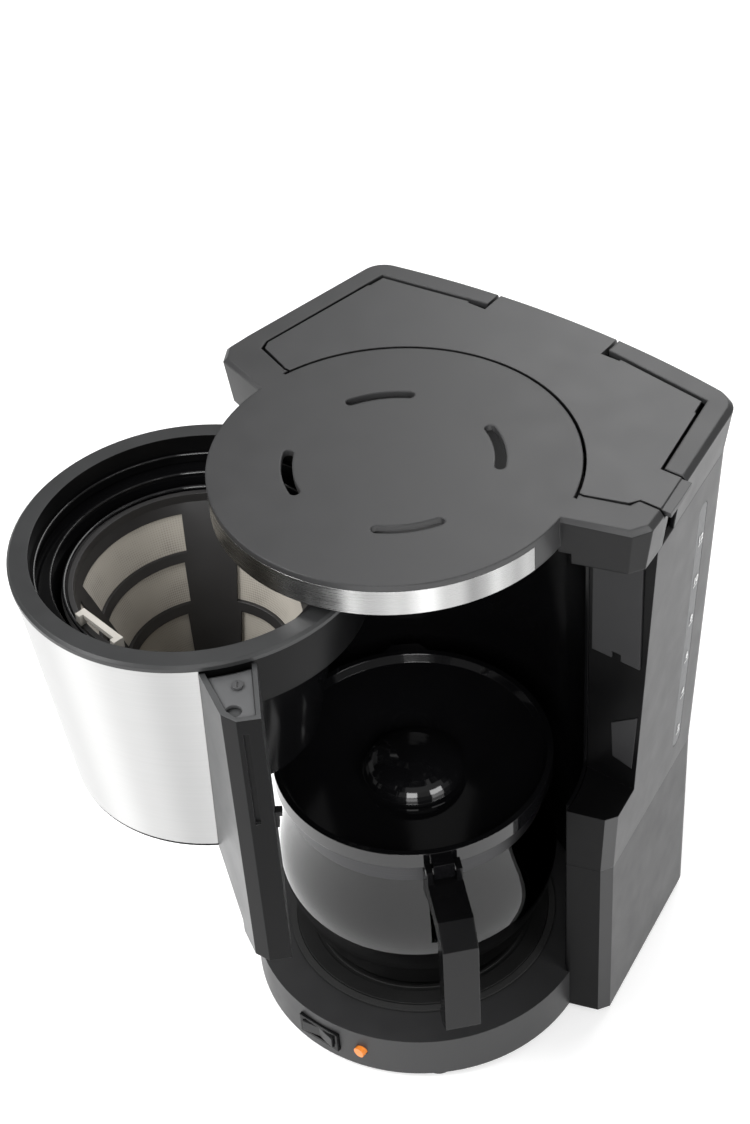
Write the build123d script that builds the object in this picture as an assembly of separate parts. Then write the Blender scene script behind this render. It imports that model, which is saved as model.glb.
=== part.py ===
from build123d import *
import math
import os

# Drip coffee maker, millimetres, +Z up, front towards -Y.
# The origin is on the table plane, under the axis of the round head, which is
# also the axis of the jug and of the filter holder when its door is shut.
# The filter door is drawn shut and then swung open about its hinge pin.

# ---- overall sizes
TOTAL_H = 330.0          # table to the top of the head
HEAD_R = 82.0            # round head and trim band
WALL = 2.6               # moulded housing wall
GAP = 0.4                # clearance between pieces that only sit together

# ---- body of the machine, seen from above
SIDE_AT_TOP = 112.4      # half width where the side wall begins, under the head
SIDE_LEAN = 0.051        # the side walls lean in this much per mm of height
SIDE_SPLAY = 0.1655      # the side walls draw in towards the back, per mm
WALL_FRONT_Y = 36.5      # front face of the upper side columns
REAR_CORNER_Y = 118.0
REAR_MID_Y = 128.0
REAR_ROUND = 12.0
BAY_R = 84.0             # glossy liner round the jug
LINER_T = 1.8
CHEEK_Y = 6.2            # front of the lower cheeks, beside the jug
CHEEK_CORNER_Y = 12.3
CHEEK_SIDE_Y = 18.0

# ---- levels
FOOT_H = 4.0
BASE_TOP = 30.0
SEAM_Z = 113.0           # joint between lower and upper housing
LEDGE_Z = 151.0          # ledge that the door wings close onto
HEAD_Z = 305.0           # underside of the head cover
DISC_T = 3.2
BAND_H = 12.7
BAND_END_Y = -10.3       # the trim band ends here, on both sides

# ---- head cover
HEAD_FLARE = 3.0         # the head grows this much from its underside to its rim
HEAD_BEVEL = 2.4
ARM_INNER = (80.0, 8.0)
ARM_CORNER = (109.5, 17.5)
ARM_SIDE = (113.8, 24.5)
SLOT_R = 46.6            # steam slots
SLOT_SPAN = 33.0
SLOT_W = 5.0

# ---- tank lid, right half from the round head outwards
LID_T = 3.0
LID_GAP = 1.5
LID_EDGE_GAP = 1.3
LID_REAR_GAP = 2.0       # wider behind, where the lid tips up past the frame
LID_REAR_STEP = 4.0      # and wider still under its rear edge
LID_NOSE = (82.0, 24.6)
LID_TIP = (101.5, 30.5)
LID_NOTCH = (103.2, 35.0)
LIP_END_Y = 59.5
LIP_OUT = 3.2            # finger lip beyond the head's side
STRIP_END_X = 100.5
LID_BACK = (91.0, 110.5)
LID_TAB_HALF = 34.0
LID_TAB_Y = 118.5
LID_HINGE_Y = 122.5
LID_HINGE_DROP = 5.5     # hinge axis below the top
LID_PIN_R = 1.5

# ---- filter door
OPEN_ANGLE = 52.4        # how far the door stands open
HINGE_X = -101.0
HINGE_Y = 22.5
HINGE_PIN_R = 2.5
PIN_CLEAR = 0.06
RING_TOP = 309.0
RING_R = 81.0
RING_BORE_R = 71.7
RING_T = 3.2
SHELL_TOP_R = 80.4       # steel shell, outside
SHELL_BOTTOM_R = 69.0
SHELL_BOTTOM_Z = 187.0
STEEL_T = 0.8
CUP_T = 2.0
CUP_BACK_Z = 277.0
WING_TOP = 304.0
WING_WALL = 2.2
WING_TIP_Z = 160.0
WING_CORNER = (104.0, 17.5)
WING_SIDE = (108.3, 24.0)
WING_BACK = (107.0, 34.0)
WING_ROOT = (66.0, 1.2)
WING_BACK_FALL = 4.0
WING_TRIM_X = 75.0
WING_TRIM_Y = 26.0
WING_FOOT_X = 91.0
WING_COVER_DROP = 1.2
WING_COVER_T = 1.8
SCREW_R = 2.4
WING_SCREW = (87.0, 23.5)

# ---- filter basket, permanent filter and drip stop
LEDGE_DEPTH = 17.0       # basket rim below the ring top
BASKET_RIM_R = 71.2
BASKET_TOP_R = 66.0
BASKET_MID_R = 48.0
BASKET_MID_Z = 200.0
BASKET_TIP_R = 14.0
BASKET_TIP_Z = 166.0
BASKET_T = 1.8
FILTER_RIM_R = 60.5
FILTER_TOP_R = 56.5
FILTER_BOTTOM_R = 27.0
FILTER_TOP_Z = 286.0
FILTER_BOTTOM_Z = 208.0
FILTER_RIBS = 4
FILTER_RIB = 4.2
FILTER_PANEL = 18.0
FILTER_HOOP = 4.4
FILTER_HOOPS = (0.03, 0.36, 0.66, 0.94)
FILTER_T = 1.6
FILTER_PANEL_ANGLE = 180.0
FILTER_HANDLE_ANGLE = 314.0
MESH_T = 0.4
VALVE_BORE_R = 5.0
VALVE_TRAVEL = 3.0

# ---- jug
PLATE_R = 66.0
PLATE_TOP = 32.4
JUG_FOOT_R = 57.0
JUG_BELLY_R = 70.5
JUG_NECK_R = 63.5
JUG_RIM_Z = 137.0
JUG_GLASS = 2.4
LID_RIM_R = 69.0
LID_RIM_Z = 149.0
DOME_R = 25.0
DOME_H = 12.0
DOME_STEPS = 10
LID_PIN_X = LID_RIM_R + 5.0
LID_PIN_Z = JUG_RIM_Z + 5.5
HANDLE_ANGLE = -42.0
HANDLE_OUT = 46.0
HANDLE_W = 17.0

# ---- water path and heater
TUBE_R = 4.5
TUBE_WALL = 1.3
RISER_X = -88.0
RISER_Y = 47.0
HOT_TURN_Y = 74.0
HEATER_R = 42.0
HEATER_LEG = 62.0
TANK_FRONT_Y = 58.0
TANK_BOTTOM = 64.0
TANK_WALL = 2.0
TANK_OUT_X = 21.0
TANK_OUT_Y = 104.0
SPRAY_R = 34.0

# ---- level window in the right side
WINDOW_Y = 92.0
WINDOW_W = 9.0
WINDOW_TOP = 284.0
WINDOW_BOTTOM = 133.0

# ---- base, feet, switch, lamp and cord outlet
BASE_R = BAY_R + 4.0
FOOT_R = 8.0
FOOT_PLACES = [(0, 0), (52, -58), (-52, -58), (74, 96), (-74, 96)]
SWITCH_W = 24.0
SWITCH_H = 13.0
SWITCH_Z = 17.0
LAMP_X = 24.0
LAMP_R = 3.0
GLAND_X = 55.0
GLAND_Z = 22.0
GLAND_R = 5.5

PARTS = {}


def keep(name, shape):
    """Remember one finished sub-part under its node name."""
    PARTS[name] = shape


def cylinder(radius, z0, z1, x=0.0, y=0.0):
    return Pos(x, y, (z0 + z1) / 2) * Cylinder(radius, z1 - z0)


def ring(outer, inner, z0, z1, x=0.0, y=0.0):
    return cylinder(outer, z0, z1, x, y) - cylinder(inner, z0 - 1, z1 + 1, x, y)


def box(x0, x1, y0, y1, z0, z1):
    centre = Pos((x0 + x1) / 2, (y0 + y1) / 2, (z0 + z1) / 2)
    return centre * Box(x1 - x0, y1 - y0, z1 - z0)


def flat(points, z):
    return Pos(0, 0, z) * make_face(Polyline(*points, close=True))


def prism(points, z0, z1):
    return extrude(flat(points, z0), amount=z1 - z0, dir=(0, 0, 1))


def turned(points):
    """Revolve an outline given as (radius, height) points about the Z axis."""
    outline = [(r, 0, z) for r, z in points]
    return revolve(make_face(Polyline(*outline, close=True)), Axis.Z, 360)


def mirrored(points):
    """Close a right-hand outline with its mirror image."""
    return list(points) + [(-x, y) for x, y in reversed(points)]


def at_angle(radius, degrees, z=0.0):
    a = math.radians(degrees)
    return (radius * math.cos(a), radius * math.sin(a), z)


def hose(path_points, bend, outer, wall):
    """A round tube along straight runs with rounded bends."""
    path = FilletPolyline(*path_points, radius=bend)
    start = Plane(origin=path @ 0, z_dir=path % 0)
    section = start * (Circle(outer) - Circle(outer - wall))
    return sweep(section, path=path)


# ---- housing sections -------------------------------------------------------

def side_x(y, z):
    drop = HEAD_Z - max(z, SEAM_Z)
    return SIDE_AT_TOP - SIDE_LEAN * drop - SIDE_SPLAY * (y - WALL_FRONT_Y)


def section(front, z, inset=0.0):
    """Column outline at height z: the given front points, straight sides, bowed back."""
    corner_y = REAR_CORNER_Y - inset
    corner_x = side_x(REAR_CORNER_Y, z) - inset
    back = REAR_MID_Y - inset
    right = list(front) + [(corner_x, corner_y)]
    left = [(-x, y) for x, y in reversed(right)]
    lines = Polyline(*[(x, y, 0) for x, y in left + right])
    arc = ThreePointArc((corner_x, corner_y, 0), (0, back, 0), (-corner_x, corner_y, 0))
    face = make_face(Curve() + [lines, arc])
    corners = face.vertices().filter_by(lambda v: v.Y > corner_y - 1)
    return Pos(0, 0, z) * fillet(corners, max(REAR_ROUND - inset, 2))


def column_front(z, inset=0.0):
    y = WALL_FRONT_Y + inset
    return [(side_x(y, z) - inset, y)]


def cheek_front(z, inset=0.0):
    y = CHEEK_SIDE_Y + inset / 2
    x = side_x(y, z) - inset
    return [(BAY_R, CHEEK_Y + inset), (x - 3.7, CHEEK_CORNER_Y + inset), (x, y)]


def column(front, z0, z1, inset=0.0):
    """Solid column between two heights, leaning with the side walls."""
    faces = [section(front(z, inset), z, inset) for z in (z0, z1)]
    return loft(Sketch() + faces, ruled=True)


def upright(front, z0, z1, inset=0.0):
    """Solid column with vertical walls, as wide as at the seam."""
    face = Pos(0, 0, z0 - SEAM_Z) * section(front(SEAM_Z, inset), SEAM_Z, inset)
    return extrude(face, amount=z1 - z0, dir=(0, 0, 1))


def upper_housing():
    bay = cylinder(BAY_R + LINER_T + GAP, SEAM_Z - 1, HEAD_Z + 1)
    bay_wall = cylinder(BAY_R + LINER_T + GAP + WALL, SEAM_Z - 2, HEAD_Z + 2)
    shell = column(column_front, LEDGE_Z, HEAD_Z) + column(cheek_front, SEAM_Z, LEDGE_Z)
    room = column(column_front, LEDGE_Z, HEAD_Z, WALL)
    room += column(cheek_front, SEAM_Z, LEDGE_Z - WALL, WALL)
    room += upright(column_front, LEDGE_Z - WALL - 1, LEDGE_Z + 1, WALL + 1)
    shell -= room - bay_wall
    boss = cylinder(6, LEDGE_Z - 12, LEDGE_Z - 1, HINGE_X, HINGE_Y)
    boss -= bay
    shell = shell - bay + boss
    shell -= cylinder(HINGE_PIN_R, LEDGE_Z - 8, LEDGE_Z + 1, HINGE_X, HINGE_Y)
    return shell - window_prism(0.15)


def window_prism(grow=0.0):
    """The long rounded slot of the level window, cut straight through the right side."""
    half = WINDOW_W / 2 + grow
    body = box(80, 130, WINDOW_Y - half, WINDOW_Y + half, WINDOW_BOTTOM, WINDOW_TOP)
    for z in (WINDOW_BOTTOM, WINDOW_TOP):
        body += Pos(105, WINDOW_Y, z) * Rot(0, 90, 0) * Cylinder(half, 50)
    return body


def level_window():
    outer = column(column_front, LEDGE_Z - 30, HEAD_Z)
    inner = column(column_front, LEDGE_Z - 30, HEAD_Z, WALL)
    strip = (outer - inner) & window_prism()
    return strip - box(-200, 0, -200, 200, 0, 400)


def lower_housing():
    bay = cylinder(BAY_R + LINER_T + GAP, BASE_TOP, SEAM_Z + 1)
    bay_wall = cylinder(BAY_R + LINER_T + GAP + WALL, BASE_TOP - WALL, SEAM_Z + 2)
    shell = upright(cheek_front, FOOT_H, SEAM_Z)
    shell += cylinder(BASE_R, FOOT_H, BASE_TOP)
    room = upright(cheek_front, FOOT_H - 1, SEAM_Z + 1, WALL) - bay_wall
    room += cylinder(BASE_R - WALL, FOOT_H - 1, BASE_TOP - WALL)
    shell = shell - room - bay
    shell -= cylinder(PLATE_R + 2, BASE_TOP - WALL - 1, BASE_TOP + 1)
    shell -= switch_opening(GAP / 2)
    shell -= lamp_hole(GAP / 2)
    return shell - gland_hole()


# ---- base -------------------------------------------------------------------


def switch_opening(grow=0.0):
    half = SWITCH_W / 2 + grow
    tall = SWITCH_H / 2 + grow
    return box(-half, half, -BASE_R - 5, -BASE_R + 8, SWITCH_Z - tall, SWITCH_Z + tall)


def lamp_hole(grow=0.0):
    return Pos(LAMP_X, -BASE_R + 4, SWITCH_Z) * Rot(90, 0, 0) * Cylinder(LAMP_R + grow, 16)


def gland_hole(radius=None):
    size = GLAND_R if radius is None else radius
    return Pos(GLAND_X, REAR_MID_Y - 6, GLAND_Z) * Rot(90, 0, 0) * Cylinder(size, 20)


def base_plate():
    """Floor of the machine, inside the lower housing."""
    inset = WALL + GAP
    plate = upright(cheek_front, FOOT_H, FOOT_H + 2, inset)
    plate += cylinder(BASE_R - inset, FOOT_H, FOOT_H + 2)
    for x, y in FOOT_PLACES:
        plate -= cylinder(FOOT_R - 2, FOOT_H - 1, FOOT_H + 3, x, y)
    for x, y in FOOT_PLACES[1:]:
        plate -= cylinder(SCREW_R - 0.6, FOOT_H - 1, FOOT_H + 3, x * 0.8, y * 0.8)
    for i in range(-4, 5):
        plate -= box(i * 9 - 2, i * 9 + 2, 20, 45, FOOT_H - 1, FOOT_H + 3)
    return plate


def rubber_feet():
    feet = []
    for x, y in FOOT_PLACES:
        foot = cylinder(FOOT_R, 0, FOOT_H - GAP / 4, x, y)
        foot += cylinder(FOOT_R - 2.2, FOOT_H - GAP / 4, FOOT_H + 3, x, y)
        feet.append(foot)
    return Compound(children=feet)


def base_screws():
    screws = []
    for x, y in FOOT_PLACES[1:]:
        head = cylinder(3.2, FOOT_H - 2, FOOT_H - 0.1, x * 0.8, y * 0.8)
        shank = cylinder(1.5, FOOT_H - 0.1, FOOT_H + 8, x * 0.8, y * 0.8)
        screws.append(head + shank)
    return Compound(children=screws)


def warming_plate():
    plate = cylinder(PLATE_R, PLATE_TOP - 1.4, PLATE_TOP)
    skirt = ring(PLATE_R, PLATE_R - 1.2, BASE_TOP - 2.4, PLATE_TOP - 1)
    groove = ring(PLATE_R - 8, PLATE_R - 10, PLATE_TOP - 0.5, PLATE_TOP + 1)
    return plate + skirt - groove


def plate_seal():
    inner = PLATE_R + 0.15
    lip = ring(PLATE_R + 3.6, inner, BASE_TOP + 0.1, BASE_TOP + 1.3)
    sleeve = ring(PLATE_R + 1.85, inner, BASE_TOP - 2.4, BASE_TOP + 0.2)
    return lip + sleeve


def heat_spreader():
    return cylinder(HEATER_R + 8, heater_level() + TUBE_R + 0.05, PLATE_TOP - 1.45)


def heater_tube():
    """The U of water tube and heating rod under the plate, open towards the back."""
    z = heater_level()
    profile = Pos(HEATER_R, 0, z) * Rot(90, 0, 0) * (Circle(TUBE_R - 0.2) - Circle(TUBE_R - 1.2))
    bend = revolve(profile, Axis.Z, -180)
    for x in (-HEATER_R, HEATER_R):
        leg = Pos(x, HEATER_LEG / 2, z) * Rot(90, 0, 0)
        bend += leg * Cylinder(TUBE_R - 0.2, HEATER_LEG) - leg * Cylinder(TUBE_R - 1.2, HEATER_LEG + 1)
    return bend


def heater_bracket():
    z = heater_level() - TUBE_R
    bar = box(-HEATER_R - 9, HEATER_R + 9, -5, 5, z - 1.6, z)
    return bar - cylinder(1.7, 0, 60)


def thermostat():
    top = heater_level() + TUBE_R
    body = cylinder(8, top - 8, top, 18, 22)
    tabs = box(16, 20, 15, 29, top - 12, top - 8)
    return body + tabs


def thermal_fuse():
    return Pos(-18, 22, heater_level() + TUBE_R - 3.1) * Rot(0, 90, 0) * Cylinder(3, 16)


def terminal_block():
    block = box(34, 64, 84, 96, FOOT_H + 2.1, FOOT_H + 14)
    for i in range(3):
        block -= cylinder(2.2, FOOT_H + 6, FOOT_H + 15, 39 + 10 * i, 90)
    return block


def cord_gland():
    """Strain relief in the back wall, where the mains cord would come out."""
    y = back_wall_y(GLAND_X)
    turn = Rot(90, 0, 0)
    body = Pos(GLAND_X, y, GLAND_Z) * turn * Cylinder(GLAND_R - 0.2, 14)
    body += Pos(GLAND_X, y + 4, GLAND_Z) * turn * Cylinder(GLAND_R + 2, 2)
    body += Pos(GLAND_X, y + 10, GLAND_Z) * turn * Cone(GLAND_R - 0.2, GLAND_R - 1.6, 10)
    return body - Pos(GLAND_X, y, GLAND_Z) * turn * Cylinder(3.3, 60)


def back_wall_y(x):
    """Outside of the bowed back wall at one x."""
    half = side_x(REAR_CORNER_Y, SEAM_Z)
    bow = REAR_MID_Y - REAR_CORNER_Y
    radius = (half * half + bow * bow) / (2 * bow)
    return REAR_MID_Y - radius + math.sqrt(radius * radius - x * x)


def switch_bezel():
    frame = switch_opening() - box(-SWITCH_W / 2 + 2, SWITCH_W / 2 - 2, -BASE_R - 6, -BASE_R + 6,
                                   SWITCH_Z - SWITCH_H / 2 + 2, SWITCH_Z + SWITCH_H / 2 - 2)
    return frame - box(-99, 99, -BASE_R - 9, -BASE_R - 1, 0, 50)


def switch_rocker():
    """Rocker that tilts about a cross pin; its two faces meet at a shallow angle."""
    half = SWITCH_W / 2 - 2.6
    tall = SWITCH_H / 2 - 3.0
    front = -BASE_R - 2.0
    outline = [(-half, front), (0, front + 1.6), (half, front - 0.4), (half, -BASE_R + 3.0)]
    outline += [(3, -BASE_R + 4.4), (-3, -BASE_R + 4.4), (-half, -BASE_R + 3.0)]
    return prism(outline, SWITCH_Z - tall, SWITCH_Z + tall)


def pilot_lens():
    body = lamp_hole() - box(0, 60, -BASE_R - 20, -BASE_R + 1.0, 0, 60)
    dome = Pos(LAMP_X, -BASE_R + 4.2, SWITCH_Z) * Sphere(LAMP_R)
    return body + dome


# ---- bay and water path -----------------------------------------------------

def bay_liner():
    liner = ring(BAY_R + LINER_T, BAY_R, BASE_TOP + 0.3, HEAD_Z + 5)
    liner -= box(-120, 120, -120, CHEEK_Y + 4, 0, 400)
    return liner - box(-120, 120, -120, WALL_FRONT_Y + 1, LEDGE_Z, 400)


def tank_room(inset):
    """Prism inside the column, as wide as the narrowest level allows."""
    shape = upright(column_front, TANK_BOTTOM + inset, HEAD_Z - 4 + inset, WALL + 1.2 + inset)
    shape -= box(-200, 200, -200, TANK_FRONT_Y + inset, 0, 400)
    return shape - cylinder(BAY_R + LINER_T + GAP + WALL + 1.2 + inset, 0, 400)


def water_tank():
    tank = tank_room(0) - tank_room(TANK_WALL)
    bore = TUBE_R - TUBE_WALL - 1
    spout = cylinder(bore + 0.95, TANK_BOTTOM - 9, TANK_BOTTOM + 1, TANK_OUT_X, TANK_OUT_Y)
    return tank + spout - cylinder(bore, TANK_BOTTOM - 10, TANK_BOTTOM + 5, TANK_OUT_X, TANK_OUT_Y)


def heater_level():
    return BASE_TOP - WALL - GAP - TUBE_R


def check_valve():
    """Housing of the one-way valve in the cold line, with a ball inside."""
    x, y = TANK_OUT_X, TANK_OUT_Y
    z = TANK_BOTTOM - 24
    body = cylinder(7, z - 8, z + 8, x, y) - cylinder(5.2, z - 6, z + 6, x, y)
    body -= cylinder(2.4, z - 20, z + 20, x, y)
    body += ring(3.1, 2.2, z + 7, z + 12, x, y)
    return body + ring(3.1, 2.2, z - 11, z - 7, x, y)


def valve_ball():
    return Pos(TANK_OUT_X, TANK_OUT_Y, TANK_BOTTOM - 24 - 2.2) * Sphere(3.6)


def inlet_hose():
    x, y = TANK_OUT_X, TANK_OUT_Y
    return ring(TUBE_R, TUBE_R - TUBE_WALL, TANK_BOTTOM - 15.5, TANK_BOTTOM - 0.2, x, y)


def cold_hose():
    x, y = TANK_OUT_X, TANK_OUT_Y
    z = heater_level()
    points = [(x, y, TANK_BOTTOM - 32.2), (x, y, z), (HEATER_R, y, z), (HEATER_R, HEATER_LEG + 0.2, z)]
    return hose(points, 4.9, TUBE_R, TUBE_WALL)


def hot_hose():
    z = heater_level()
    points = [(-HEATER_R, HEATER_LEG + 0.2, z), (-HEATER_R, HOT_TURN_Y, z)]
    points += [(RISER_X, HOT_TURN_Y, z), (RISER_X, RISER_Y, z), (RISER_X, RISER_Y, 60)]
    return hose(points, 8, TUBE_R, TUBE_WALL)


def riser_tube():
    level = TOTAL_H - 14
    inner = at_angle(SPRAY_R + 1, spray_angle())
    points = [(RISER_X, RISER_Y, 60.5), (RISER_X, RISER_Y, level), (inner[0], inner[1], level)]
    return hose(points, 9, TUBE_R, TUBE_WALL)


def spray_angle():
    return math.degrees(math.atan2(RISER_Y, RISER_X))


def spray_head():
    """Flat shower box that lets the hot water fall over the coffee."""
    z0 = TOTAL_H - 19
    z1 = TOTAL_H - 7
    body = cylinder(SPRAY_R, z0, z1) - cylinder(SPRAY_R - 2, z0 + 2, z1 - 2)
    for radius, count in ((8, 6), (17, 10), (26, 14)):
        for i in range(count):
            x, y, _ = at_angle(radius, 360 * i / count)
            body -= cylinder(1.3, z0 - 1, z0 + 3, x, y)
    body -= cylinder(1.3, z0 - 1, z0 + 3)
    x, y, _ = at_angle(SPRAY_R - 1, spray_angle())
    inlet = Pos(x, y, TOTAL_H - 14) * Rot(0, 0, spray_angle()) * Rot(0, 90, 0) * Cylinder(2.6, 12)
    return body - inlet


# ---- head -------------------------------------------------------------------

def head_front(grow):
    inner = (ARM_INNER[0], ARM_INNER[1] - grow * 0.3)
    corner = (ARM_CORNER[0] + grow * 0.8, ARM_CORNER[1] - grow * 0.5)
    side = (ARM_SIDE[0] + grow, ARM_SIDE[1])
    return [inner, corner, side, (side_x(WALL_FRONT_Y, HEAD_Z) + grow, WALL_FRONT_Y)]


def head_section(z, grow):
    """Outline of the head at one height, grown outwards from the housing."""
    corner_x = side_x(REAR_CORNER_Y, HEAD_Z) + grow
    corner_y = REAR_CORNER_Y + grow * 0.3
    back = REAR_MID_Y + grow * 0.3
    right = head_front(grow) + [(corner_x, corner_y)]
    left = [(-x, y) for x, y in reversed(right)]
    lines = Polyline(*[(x, y, 0) for x, y in left + right])
    arc = ThreePointArc((corner_x, corner_y, 0), (0, back, 0), (-corner_x, corner_y, 0))
    face = make_face(Curve() + [lines, arc])
    corners = face.vertices().filter_by(lambda v: v.Y > corner_y - 1)
    return Pos(0, 0, z) * fillet(corners, REAR_ROUND)


def head_block(grow):
    rim = TOTAL_H - HEAD_BEVEL
    lower = loft(Sketch() + [head_section(HEAD_Z, grow), head_section(rim, HEAD_FLARE + grow)], ruled=True)
    upper = loft(Sketch() + [head_section(rim, HEAD_FLARE + grow),
                             head_section(TOTAL_H, HEAD_FLARE + grow - HEAD_BEVEL)], ruled=True)
    return lower + upper


def lid_outline(gap):
    """Tank lid seen from above, shrunk by a gap on the sides that meet the frame."""
    lip = side_x(WALL_FRONT_Y, HEAD_Z) + HEAD_FLARE + LIP_OUT
    lip_back = lip - SIDE_SPLAY * (LIP_END_Y - WALL_FRONT_Y)
    right = [(LID_NOSE[0], LID_NOSE[1] + gap), (LID_TIP[0] - gap, LID_TIP[1] + gap)]
    right += [(LID_NOTCH[0], LID_NOTCH[1] + gap), (lip, LID_NOTCH[1] + gap)]
    right += [(lip_back, LIP_END_Y - gap), (STRIP_END_X - gap, LIP_END_Y - gap)]
    right += [(LID_BACK[0] - gap, LID_BACK[1] - gap), (LID_TAB_HALF - gap, LID_TAB_Y - gap)]
    right += [(LID_TAB_HALF - gap, REAR_MID_Y + 9)]
    left = [(-LID_TAB_HALF + gap, REAR_MID_Y + 9), (-LID_TAB_HALF + gap, LID_TAB_Y - gap)]
    left += [(-LID_BACK[0] + gap, LID_BACK[1] - gap), (-LID_NOTCH[0] + gap, LID_NOTCH[1] + 2)]
    left += [(-LID_TIP[0] + gap, LID_TIP[1] + gap + 1), (-LID_NOSE[0], LID_NOSE[1] + gap)]
    return right + left


def head_cover():
    """Frame and round disc of the head, with the opening for the tank lid."""
    block = head_block(0)
    hollow = Pos(0, 0, -HEAD_BEVEL) * head_block(-WALL) - box(-200, 200, -200, 200, TOTAL_H - DISC_T, 400)
    hollow -= box(-200, 200, -200, ARM_CORNER[1] - 6, 0, 400)
    cover = block - hollow
    cover -= prism(lid_outline(0), TOTAL_H - LID_T - 1, TOTAL_H + 5) - cylinder(HEAD_R + LID_GAP, 0, 400)
    inner_floor = prism(lid_outline(6), HEAD_Z - 1, TOTAL_H) - cylinder(HEAD_R + LID_GAP, 0, 400)
    cover -= inner_floor & box(-200, 200, -200, LID_TAB_Y - 4, 0, 400)
    cover -= box(-LID_TAB_HALF, LID_TAB_HALF, LID_TAB_Y - 4, 200, TOTAL_H - 14, 400)
    cover -= cylinder(HEAD_R - 1, HEAD_Z - 1, TOTAL_H - DISC_T)
    cover -= ring(HEAD_R + LID_GAP, HEAD_R, TOTAL_H - LID_T - 1, TOTAL_H + 5) & box(-95, 95, 22, 120, 0, 400)
    cover += cylinder(HEAD_R, TOTAL_H - DISC_T, TOTAL_H)
    skirt = ring(HEAD_R - 1, HEAD_R - 3, TOTAL_H - DISC_T - BAND_H, TOTAL_H - DISC_T)
    ends = ring(HEAD_R, HEAD_R - 1.5, TOTAL_H - DISC_T - BAND_H, TOTAL_H - DISC_T)
    ends -= box(-200, 200, -200, BAND_END_Y, 0, 400)
    cover += skirt + ends
    cover -= box(-HEAD_R - 4, HEAD_R + 4, -200, 60, HEAD_Z - 1, RING_TOP + 1.5)
    cover += cylinder(6, HEAD_Z, TOTAL_H - HEAD_BEVEL, HINGE_X, HINGE_Y) & block
    cover -= cylinder(HINGE_PIN_R, HEAD_Z - 1, HEAD_Z + 10, HINGE_X, HINGE_Y)
    for side in (-1, 1):
        cover += lid_hinge_ear(side)
    cover -= lid_pin_hole()
    cover -= riser_path()
    for angle in (45, 135, 225, 315):
        cover -= steam_slot(angle)
    return cover


def riser_path():
    x, y, _ = at_angle(60, spray_angle())
    turn = Rot(0, 0, spray_angle()) * Rot(0, 90, 0)
    return Pos(x, y, TOTAL_H - 14) * turn * Cylinder(TUBE_R + 0.6, 50)


def steam_slot(angle):
    slot = ring(SLOT_R + SLOT_W / 2, SLOT_R - SLOT_W / 2, TOTAL_H - DISC_T - 1, TOTAL_H + 1)
    keep_out = []
    for turn in (-1, 1):
        edge = angle + turn * SLOT_SPAN / 2
        x, y, _ = at_angle(SLOT_R, edge)
        keep_out.append(cylinder(SLOT_W / 2, TOTAL_H - DISC_T - 1, TOTAL_H + 1, x, y))
    reach = SLOT_R * 1.5
    wedge = prism([(0, 0), at_angle(reach, angle - SLOT_SPAN / 2)[:2],
                   at_angle(reach, angle + SLOT_SPAN / 2)[:2]], TOTAL_H - 10, TOTAL_H + 2)
    return (slot & wedge) + keep_out[0] + keep_out[1]


def lid_hinge_z():
    return TOTAL_H - LID_HINGE_DROP


def lid_hinge_ear(side):
    x0 = side * (LID_TAB_HALF + 0.0)
    x1 = side * (LID_TAB_HALF + 4.0)
    z = lid_hinge_z()
    return box(min(x0, x1), max(x0, x1), LID_HINGE_Y - 4, LID_HINGE_Y + 3, HEAD_Z, TOTAL_H - LID_T)


def lid_pin_hole():
    return Pos(0, LID_HINGE_Y, lid_hinge_z()) * Rot(0, 90, 0) * Cylinder(LID_PIN_R, 2 * LID_TAB_HALF + 8)


def lid_hinge_pins():
    pins = []
    for side in (-1, 1):
        x = side * (LID_TAB_HALF - 2)
        pins.append(Pos(x, LID_HINGE_Y, lid_hinge_z()) * Rot(0, 90, 0) * Cylinder(LID_PIN_R, 12))
    return Compound(children=pins)


def rear_relief():
    """Room behind the lid's rear edge, stepped under it, so that it can tip up past the frame."""
    upper = prism(lid_outline(0), 0, 400) - prism(lid_outline(LID_REAR_GAP), 0, 400)
    z_step = TOTAL_H - LID_T / 2
    lower = prism(lid_outline(0), 0, z_step) - prism(lid_outline(LID_REAR_STEP), 0, z_step)
    tab = LID_TAB_HALF - LID_GAP
    relief = (upper + lower) & box(-200, 200, 100, 200, 0, 400)
    relief -= box(-tab, tab, 100, 200, 0, 400)
    for side in (-1, 1):
        relief += prism([(side * tab, LID_TAB_Y - 4.5), (side * (tab + 10), LID_TAB_Y - 4.5),
                         (side * (tab + 10), 140), (side * tab, 140)], 0, 400)
    return relief


def tank_lid():
    top = head_block(0) + prism([(90, 33), (118.6, 33), (114.8, 61), (90, 61)], TOTAL_H - 7, TOTAL_H - 0.6)
    plate = prism(lid_outline(LID_EDGE_GAP), TOTAL_H - LID_T, TOTAL_H + 1)
    plate -= cylinder(HEAD_R + LID_GAP, 0, 400)
    plate -= rear_relief()
    plate += box(-LID_TAB_HALF + LID_GAP, LID_TAB_HALF - LID_GAP, LID_HINGE_Y + 3, 200,
                 TOTAL_H - 11.4, TOTAL_H - LID_T + 0.5)
    plate = plate & top
    tube = Pos(0, LID_HINGE_Y, lid_hinge_z()) * Rot(0, 90, 0) * Cylinder(3.6, 2 * LID_TAB_HALF - 2 * LID_GAP)
    tube += box(-LID_TAB_HALF + LID_GAP, LID_TAB_HALF - LID_GAP, LID_HINGE_Y - 3.6, LID_HINGE_Y + 3.6,
                lid_hinge_z(), TOTAL_H - LID_T + 0.5)
    pin = Pos(0, LID_HINGE_Y, lid_hinge_z()) * Rot(0, 90, 0) * Cylinder(LID_PIN_R + PIN_CLEAR, 200)
    for x in (-50, 50):
        plate += box(x - 1, x + 1, 92, 112, TOTAL_H - LID_T - 4, TOTAL_H - LID_T + 0.5)
    return plate + tube - pin


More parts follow.
